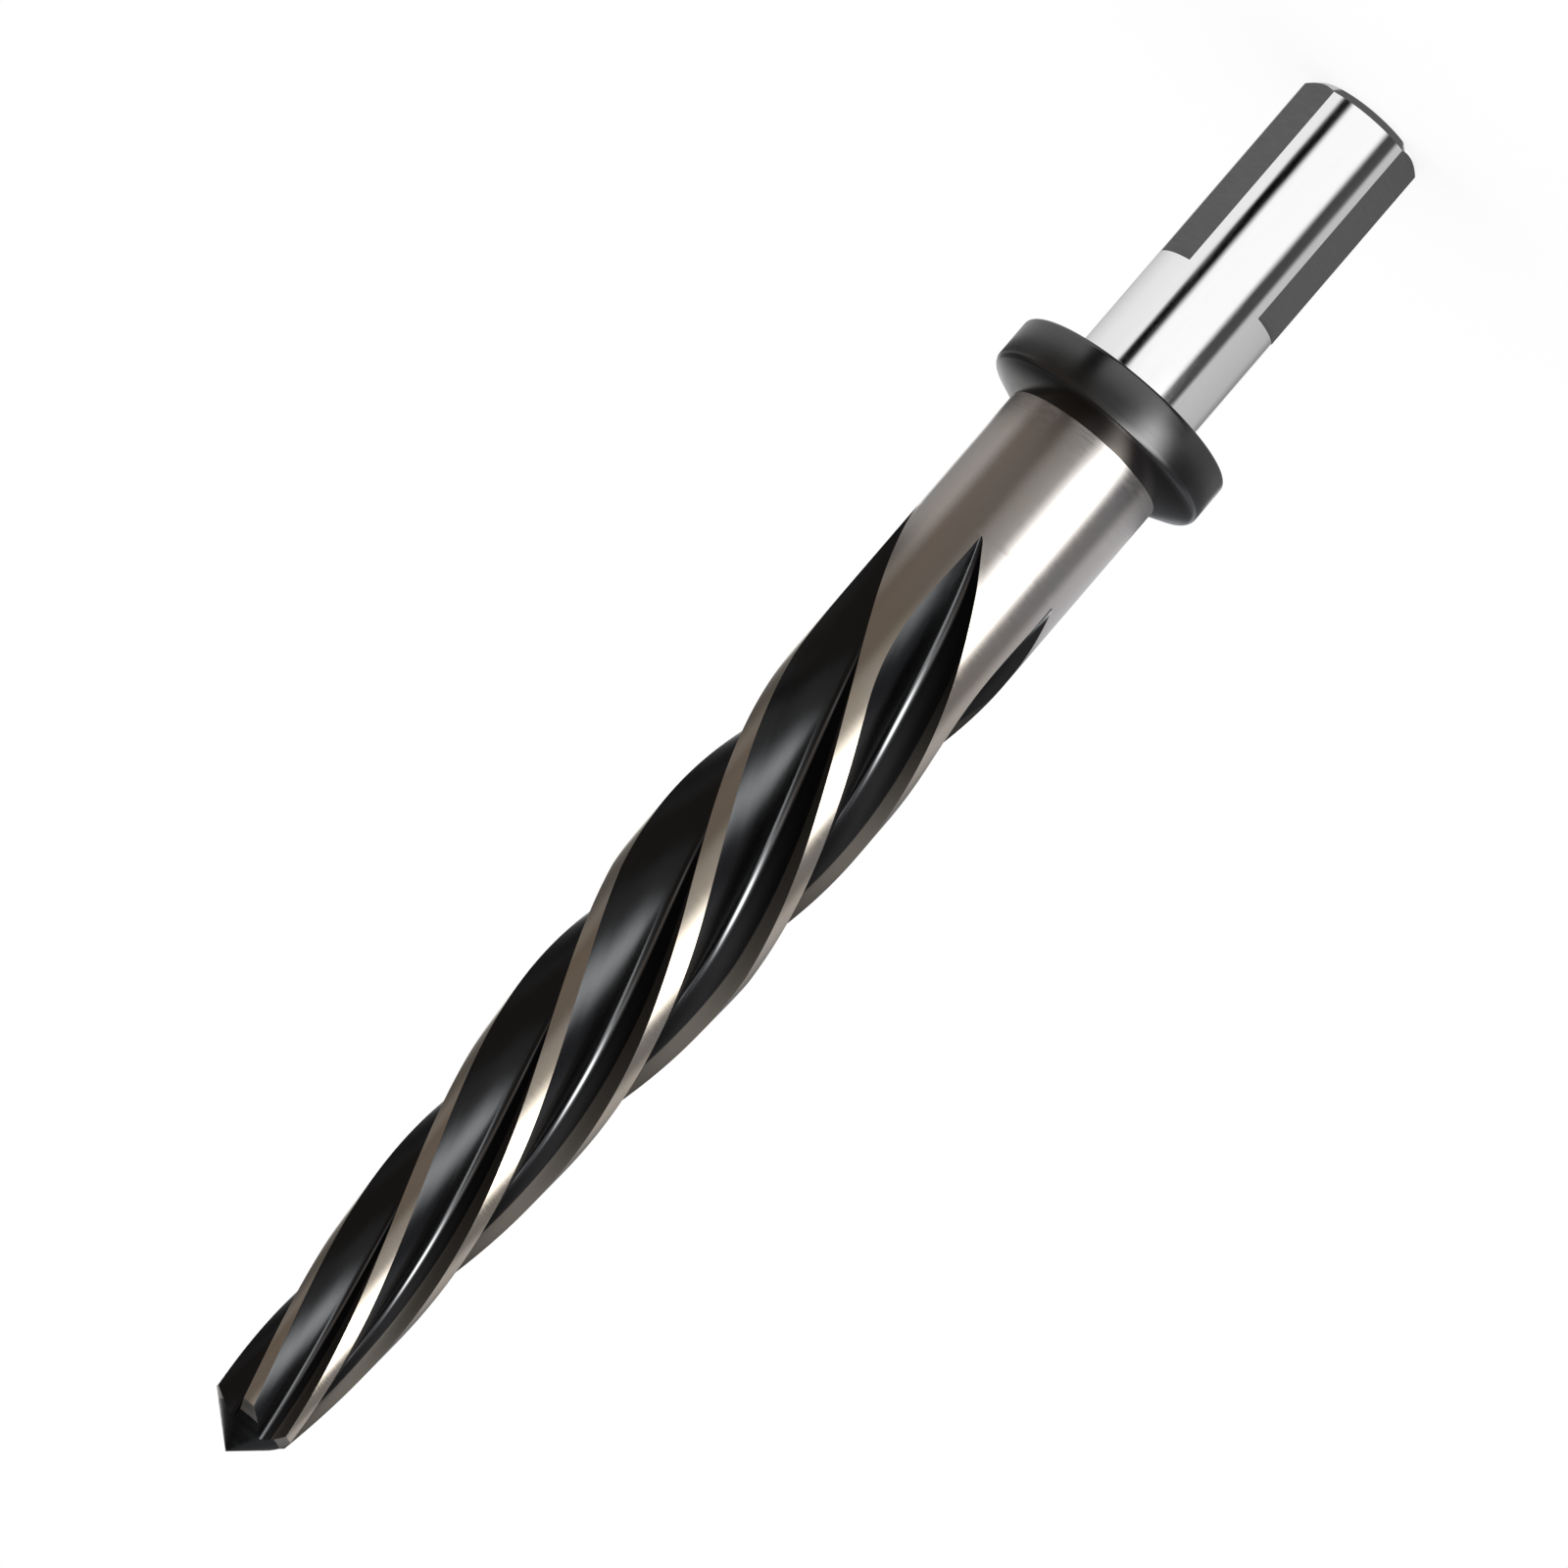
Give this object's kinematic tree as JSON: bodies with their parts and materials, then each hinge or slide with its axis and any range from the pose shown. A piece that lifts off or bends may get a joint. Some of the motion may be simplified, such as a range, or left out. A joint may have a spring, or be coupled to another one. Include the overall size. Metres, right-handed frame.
{
  "type": "reamer bit",
  "caption": "Tapered bridge reamer bit with left-hand spiral flutes, a cone point, a pressed-on stop collar and a round shank with milled jaw flats.",
  "frame": {"origin": "centre of the shank's end face, which the bit stands on", "axes": "+Z along the tool's axis towards the point; one jaw flat faces +Y"},
  "size_m": [0.0246, 0.0246, 0.1702],
  "materials": {
    "ground_tool_steel": "ground lands, neck and shank, black oxide in the flutes",
    "blackened_steel": "satin black oxide"
  },
  "bodies": {
    "root": {"reamer_body": "ground_tool_steel", "stop_collar": "blackened_steel"}
  },
  "joints": []
}
